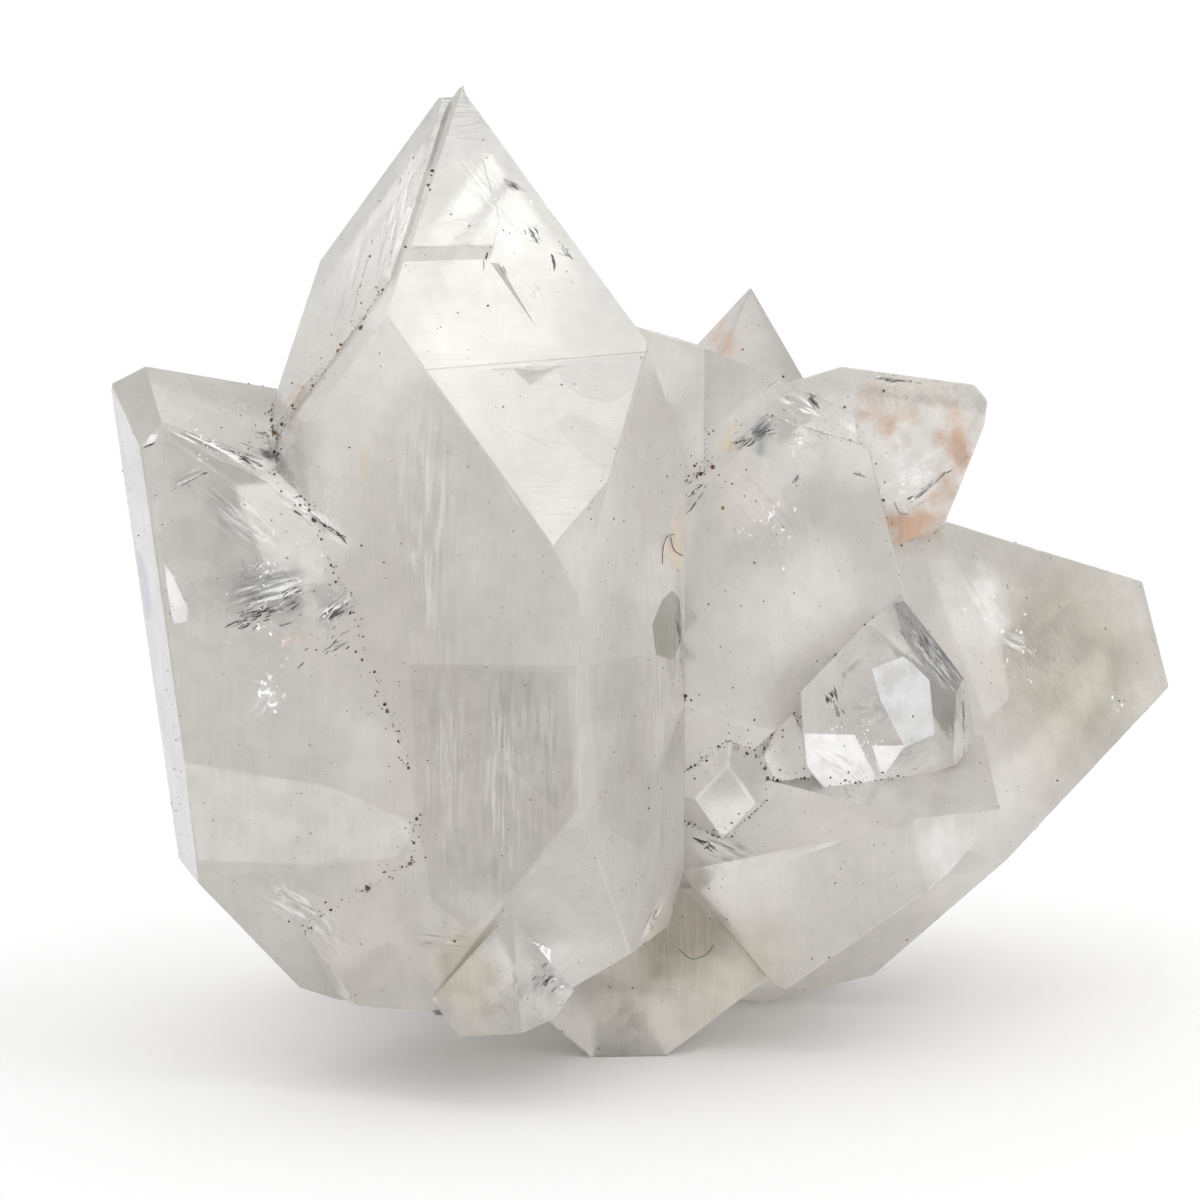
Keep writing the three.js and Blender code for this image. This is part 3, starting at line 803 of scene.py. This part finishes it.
def random_size(least, rate, most):
    """A size between the least and the most, the higher the rate the nearer to the least."""
    return min(least + dice.expovariate(rate), most) * MM


def icosahedron():
    """The corners and faces of one that is 1 across."""
    bm = bmesh.new()
    bmesh.ops.create_icosphere(bm, subdivisions=1, radius=0.5)
    shape = [v.co.copy() for v in bm.verts], [[v.index for v in face.verts] for face in bm.faces]
    bm.free()
    return shape


GRAIN_CORNERS, GRAIN_FACES = icosahedron()


def lump(bm, place, size):
    """A small angular grain of that size."""
    turn = Matrix.Rotation(dice.uniform(0, math.tau), 3, random_direction())
    stretch = Vector(dice.uniform(0.6, 1.3) * size for _ in range(3))
    corners = [corner * dice.uniform(0.75, 1.15) * stretch for corner in GRAIN_CORNERS]
    made = [bm.verts.new(place + turn @ corner) for corner in corners]
    for face in GRAIN_FACES:
        bm.faces.new([made[k] for k in face])


def hair(bm, points, radius, sides=5):
    """A fine thread through the points."""
    angles = [k * math.tau / sides for k in range(sides)]
    rings = []
    for before, point, after in zip([points[0]] + points, points, points[1:] + [points[-1]]):
        ahead = (after - before).normalized()
        across = ahead.orthogonal().normalized()
        up = ahead.cross(across)
        spokes = [across * math.cos(angle) + up * math.sin(angle) for angle in angles]
        rings.append([bm.verts.new(point + spoke * radius) for spoke in spokes])
    for ring, following in zip(rings, rings[1:]):
        for k in range(sides):
            bm.faces.new((ring[k - 1], ring[k], following[k], following[k - 1]))
    bm.faces.new(rings[0][::-1])
    bm.faces.new(rings[-1])


def smooth_path(corners, steps=8):
    """Points along a smooth curve through the corners."""
    ends = [corners[0], *corners, corners[-1]]
    path = []
    for a, b, c, d in zip(ends, ends[1:], ends[2:], ends[3:]):
        for k in range(steps):
            t = k / steps
            bend, twist = 2 * a - 5 * b + 4 * c - d, 3 * b - a - 3 * c + d
            path.append(0.5 * (2 * b + (c - a) * t + bend * t**2 + twist * t**3))
    return path + [corners[-1]]


def random_direction():
    return Vector(dice.gauss(0, 1) for _ in range(3)).normalized()


def add_cracks():
    bm = bmesh.new()
    for centre, facing, (long_radius, short_radius) in CRACKS.values():
        normal = Vector(facing).normalized()
        along = normal.cross(random_direction()).normalized()
        length, width = 2 * long_radius * MM, 2 * short_radius * MM
        flake(bm, Vector(centre) * MM, normal, along, length, width, corners=22, thickness=0.05)
    make_piece("air_cracks", bm, crack_material())


def add_chips_and_glints(skin_tree):
    bm = bmesh.new()
    for centre, spread, count in CHIPS_AND_GLINTS.values():
        for _ in range(count):
            near = Vector(centre) + random_direction() * spread * dice.random()
            place, normal, *_ = skin_tree.find_nearest(near * MM)
            along = normal.cross(random_direction()).normalized()
            size = random_size(0.05, 13, 0.4)
            flake(bm, place, normal, along, size, size * dice.uniform(0.15, 0.7), thickness=0.06)
    make_piece("white_chips_and_glints", bm, chip_and_glint_material())


def add_blades(skin_tree):
    bm = bmesh.new()
    for centre, direction, reach, width, count in BLADES.values():
        along = Vector(direction).normalized()
        for _ in range(count):
            across = along.cross(random_direction())
            near = Vector(centre) + along * dice.gauss(0, reach / 2) + across * dice.gauss(0, width / 2)
            place, normal, *_ = skin_tree.find_nearest(near * MM)
            leant = along + random_direction() * 0.25
            length = random_size(0.15, 3.5, 1.1)
            run = (leant - normal * leant.dot(normal)).normalized()
            breadth = min(length, 0.5 * MM) * dice.uniform(0.06, 0.3)
            flake(bm, place, normal, run, length, breadth)
    make_piece("crack_blades_painted_dark", bm, blade_material())


def add_seam_grains(skin_tree, seam_edges):
    """Grains caught in the seams between crystals."""
    bm = bmesh.new()
    for start, end in seam_edges:
        middle = (start + end) / 2 / MM
        density = max([0.5] + [d for c, reach, d in SEAMS.values() if (middle - Vector(c)).length < reach])
        for _ in range(round((end - start).length / MM * density * dice.uniform(0.5, 1.5))):
            near = start.lerp(end, dice.random()) + random_direction() * abs(dice.gauss(0, 0.42)) * MM
            place = skin_tree.find_nearest(near)[0]
            if place.z > CLEAR_OF_FLOOR:
                lump(bm, place, random_size(0.03, 20, 0.3))
    make_piece("seam_grains", bm, grain_material())


def add_dust(triangles):
    """Specks scattered over all sides, each lying on the surface."""
    bm = bmesh.new()
    areas = [area for area, *_ in triangles]
    for _, a, b, c in dice.choices(triangles, areas, k=DUST_COUNT):
        u, v = sorted((dice.random(), dice.random()))
        place = a * u + b * (v - u) + c * (1 - v)
        if place.z > CLEAR_OF_FLOOR:
            lump(bm, place, random_size(0.03, 36, 0.2))
    make_piece("dust_specks", bm, grain_material())


def add_lint():
    bm = bmesh.new()
    for corners in LINT.values():
        hair(bm, smooth_path([Vector(c) * MM for c in corners]), 0.022 * MM)
    make_piece("lint", bm, lint_material())


# ---------------------------------------------------------------- studio


def make_floor():
    bpy.ops.mesh.primitive_plane_add(size=12)
    floor = bpy.context.object
    floor.name = "floor"
    g = Graph("pale_floor")
    shader = g.node("BsdfPrincipled", {"Base Color": (0.96, 0.96, 0.96), "Roughness": 0.85})
    floor.data.materials.append(g.finish(shader))


def make_world():
    """White light from all around, a little less of it from the left."""
    world = bpy.data.worlds.new("studio")
    bpy.context.scene.world = world
    world.use_nodes = True
    tree = world.node_tree
    place = tree.nodes.new("ShaderNodeTexCoord").outputs["Generated"]
    sideways = tree.nodes.new("ShaderNodeSeparateXYZ")
    fall_off = tree.nodes.new("ShaderNodeMapRange")
    fall_off.interpolation_type = "SMOOTHSTEP"
    left, right, dimmest, brightest = -0.9, -0.4, 0.75, 1.12
    for socket, value in zip(fall_off.inputs[1:5], (left, right, dimmest, brightest)):
        socket.default_value = value
    tree.links.new(place, sideways.inputs[0])
    tree.links.new(sideways.outputs["X"], fall_off.inputs[0])
    tree.links.new(fall_off.outputs[0], tree.nodes["Background"].inputs["Strength"])
    tree.nodes["Background"].inputs["Color"].default_value = (1, 1, 1, 1)


def softbox(name, centre, aim, size, radiance):
    """A square glowing panel of that radiance, with its places in millimetres."""
    bpy.ops.mesh.primitive_plane_add(size=size * MM)
    panel = bpy.context.object
    panel.name = name
    panel.location = Vector(centre) * MM
    panel.rotation_euler = (Vector(aim) - Vector(centre)).to_track_quat("Z", "Y").to_euler()
    g = Graph(name)
    panel.data.materials.append(g.finish(g.node("Emission", {"Color": (1, 1, 1), "Strength": radiance})))
    g.material.cycles.emission_sampling = "NONE"


def make_camera():
    data = bpy.data.cameras.new("camera")
    data.lens, data.sensor_width = 150, 36
    data.clip_start, data.clip_end = 0.01, 20
    camera = bpy.data.objects.new("camera", data)
    look_at, down, distance = Vector((-3.37, -0.415, 24.2)), math.radians(8), 282.5
    camera.location = (look_at + Vector((0, -math.cos(down), math.sin(down))) * distance) * MM
    camera.rotation_euler = (math.pi / 2 - down, 0, 0)
    bpy.context.collection.objects.link(camera)
    bpy.context.scene.camera = camera


def tune_render():
    scene = bpy.context.scene
    scene.view_settings.view_transform = "Standard"
    scene.cycles.max_bounces = 8
    scene.cycles.transmission_bounces = 8
    scene.cycles.transparent_max_bounces = 12


# What lies on the crystals is placed by their flat faces, so these are read before the skin is made.
whole = whole_crystals(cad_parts[CLUSTER])
surface = BVHTree.FromBMesh(whole)
seams = inward_edges(whole)
facets = flat_triangles(whole)

crystal_skin(whole)
add_cracks()
add_chips_and_glints(surface)
add_blades(surface)
add_seam_grains(surface, seams)
add_dust(facets)
add_lint()

make_floor()
make_world()
# The large crystal's front pyramid face mirrors this panel to the viewer.
softbox("face_light", centre=(312, -208, 512), aim=(-7, -16, 40), size=104, radiance=5.6)
make_camera()
tune_render()
